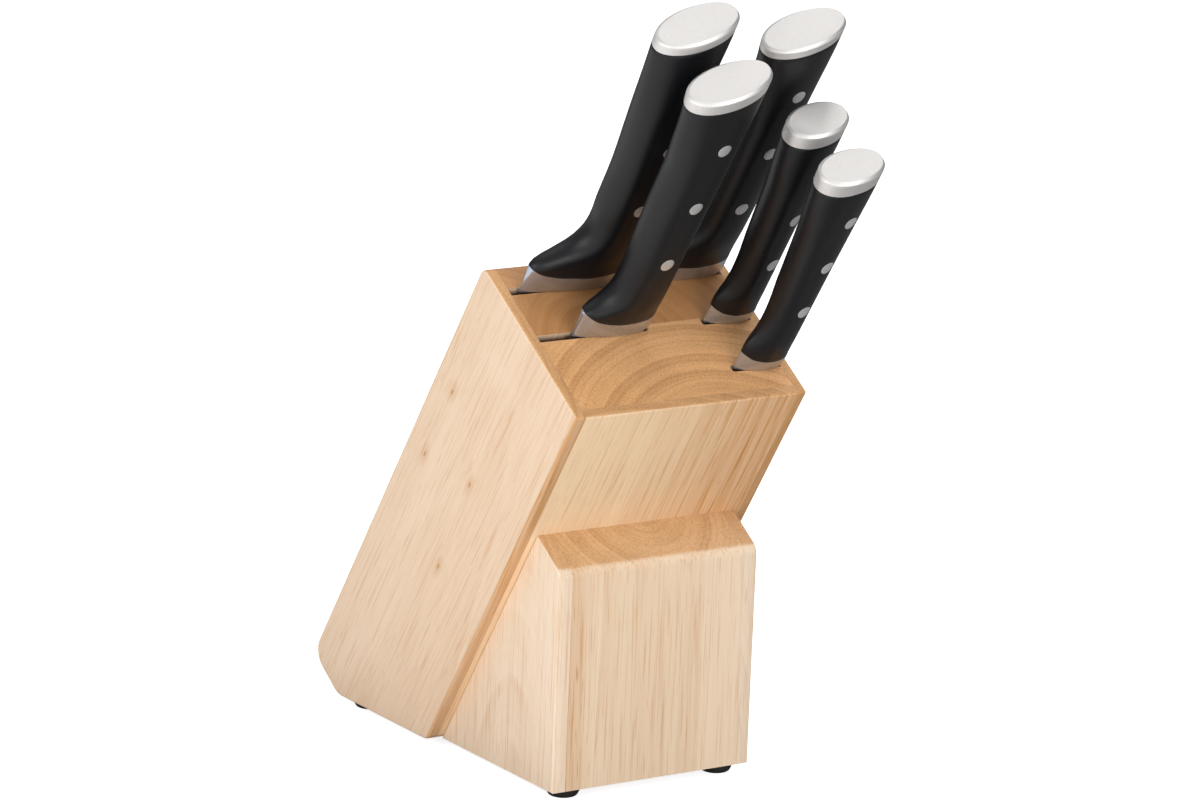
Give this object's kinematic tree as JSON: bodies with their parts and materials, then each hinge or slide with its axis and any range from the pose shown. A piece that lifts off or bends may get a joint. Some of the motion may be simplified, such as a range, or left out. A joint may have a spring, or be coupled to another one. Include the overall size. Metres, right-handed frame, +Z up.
{
  "type": "knife block with knives",
  "caption": "Slanted wooden knife block on a wedge prop with rubber feet; black-handled kitchen knives with steel bolsters and end caps lift out of its slots along the lean.",
  "frame": {"origin": "middle of the bounding box's footprint, on the surface the rubber feet stand on", "axes": "+X across the block from the left cheek to the right cheek, +Y towards the block's low rear end, +Z up; the block leans forward, towards -Y, and the knives lift out towards -Y and +Z"},
  "size_m": [0.11, 0.2474, 0.327],
  "materials": {
    "beech": "sanded beech with a thin satin oil",
    "brushed_steel": "finely brushed stainless steel",
    "black_plastic": "satin moulded plastic",
    "black_rubber": "dull rubber"
  },
  "bodies": {
    "block": {"left_cheek": "beech", "right_cheek": "beech", "back_board": "beech", "rear_slot_board": "beech", "middle_slot_board": "beech", "front_slot_board": "beech", "front_facing": "beech", "prop_left_lamella": "beech", "prop_core": "beech", "prop_right_lamella": "beech", "dowel_1": "beech", "dowel_2": "beech", "front_left_foot": "black_rubber", "front_right_foot": "black_rubber", "rear_left_foot": "black_rubber", "rear_right_foot": "black_rubber", "front_left_foot_screw": "brushed_steel", "front_right_foot_screw": "brushed_steel", "rear_left_foot_screw": "brushed_steel", "rear_right_foot_screw": "brushed_steel"},
    "chef_knife": {"chef_knife_blade": "brushed_steel", "chef_knife_bolster": "brushed_steel", "chef_knife_handle": "black_plastic", "chef_knife_end_cap": "brushed_steel", "chef_knife_rivet_1": "brushed_steel", "chef_knife_rivet_2": "brushed_steel", "chef_knife_rivet_3": "brushed_steel"},
    "bread_knife": {"bread_knife_blade": "brushed_steel", "bread_knife_bolster": "brushed_steel", "bread_knife_handle": "black_plastic", "bread_knife_end_cap": "brushed_steel", "bread_knife_rivet_1": "brushed_steel", "bread_knife_rivet_2": "brushed_steel", "bread_knife_rivet_3": "brushed_steel"},
    "santoku_knife": {"santoku_knife_blade": "brushed_steel", "santoku_knife_bolster": "brushed_steel", "santoku_knife_handle": "black_plastic", "santoku_knife_end_cap": "brushed_steel", "santoku_knife_rivet_1": "brushed_steel", "santoku_knife_rivet_2": "brushed_steel", "santoku_knife_rivet_3": "brushed_steel"},
    "utility_knife": {"utility_knife_blade": "brushed_steel", "utility_knife_bolster": "brushed_steel", "utility_knife_handle": "black_plastic", "utility_knife_end_cap": "brushed_steel", "utility_knife_rivet_1": "brushed_steel", "utility_knife_rivet_2": "brushed_steel", "utility_knife_rivet_3": "brushed_steel"},
    "paring_knife": {"paring_knife_blade": "brushed_steel", "paring_knife_bolster": "brushed_steel", "paring_knife_handle": "black_plastic", "paring_knife_end_cap": "brushed_steel", "paring_knife_rivet_1": "brushed_steel", "paring_knife_rivet_2": "brushed_steel", "paring_knife_rivet_3": "brushed_steel"}
  },
  "joints": [
    {"name": "chef_knife_lift", "type": "slide", "parent": "block", "child": "chef_knife", "axis": [0, -0.5439, 0.8391], "range_m": [0, 0.215]},
    {"name": "bread_knife_lift", "type": "slide", "parent": "block", "child": "bread_knife", "axis": [0, -0.5439, 0.8391], "range_m": [0, 0.215]},
    {"name": "santoku_knife_lift", "type": "slide", "parent": "block", "child": "santoku_knife", "axis": [0, -0.5439, 0.8391], "range_m": [0, 0.195]},
    {"name": "utility_knife_lift", "type": "slide", "parent": "block", "child": "utility_knife", "axis": [0, -0.5439, 0.8391], "range_m": [0, 0.125]},
    {"name": "paring_knife_lift", "type": "slide", "parent": "block", "child": "paring_knife", "axis": [0, -0.5439, 0.8391], "range_m": [0, 0.105]}
  ]
}
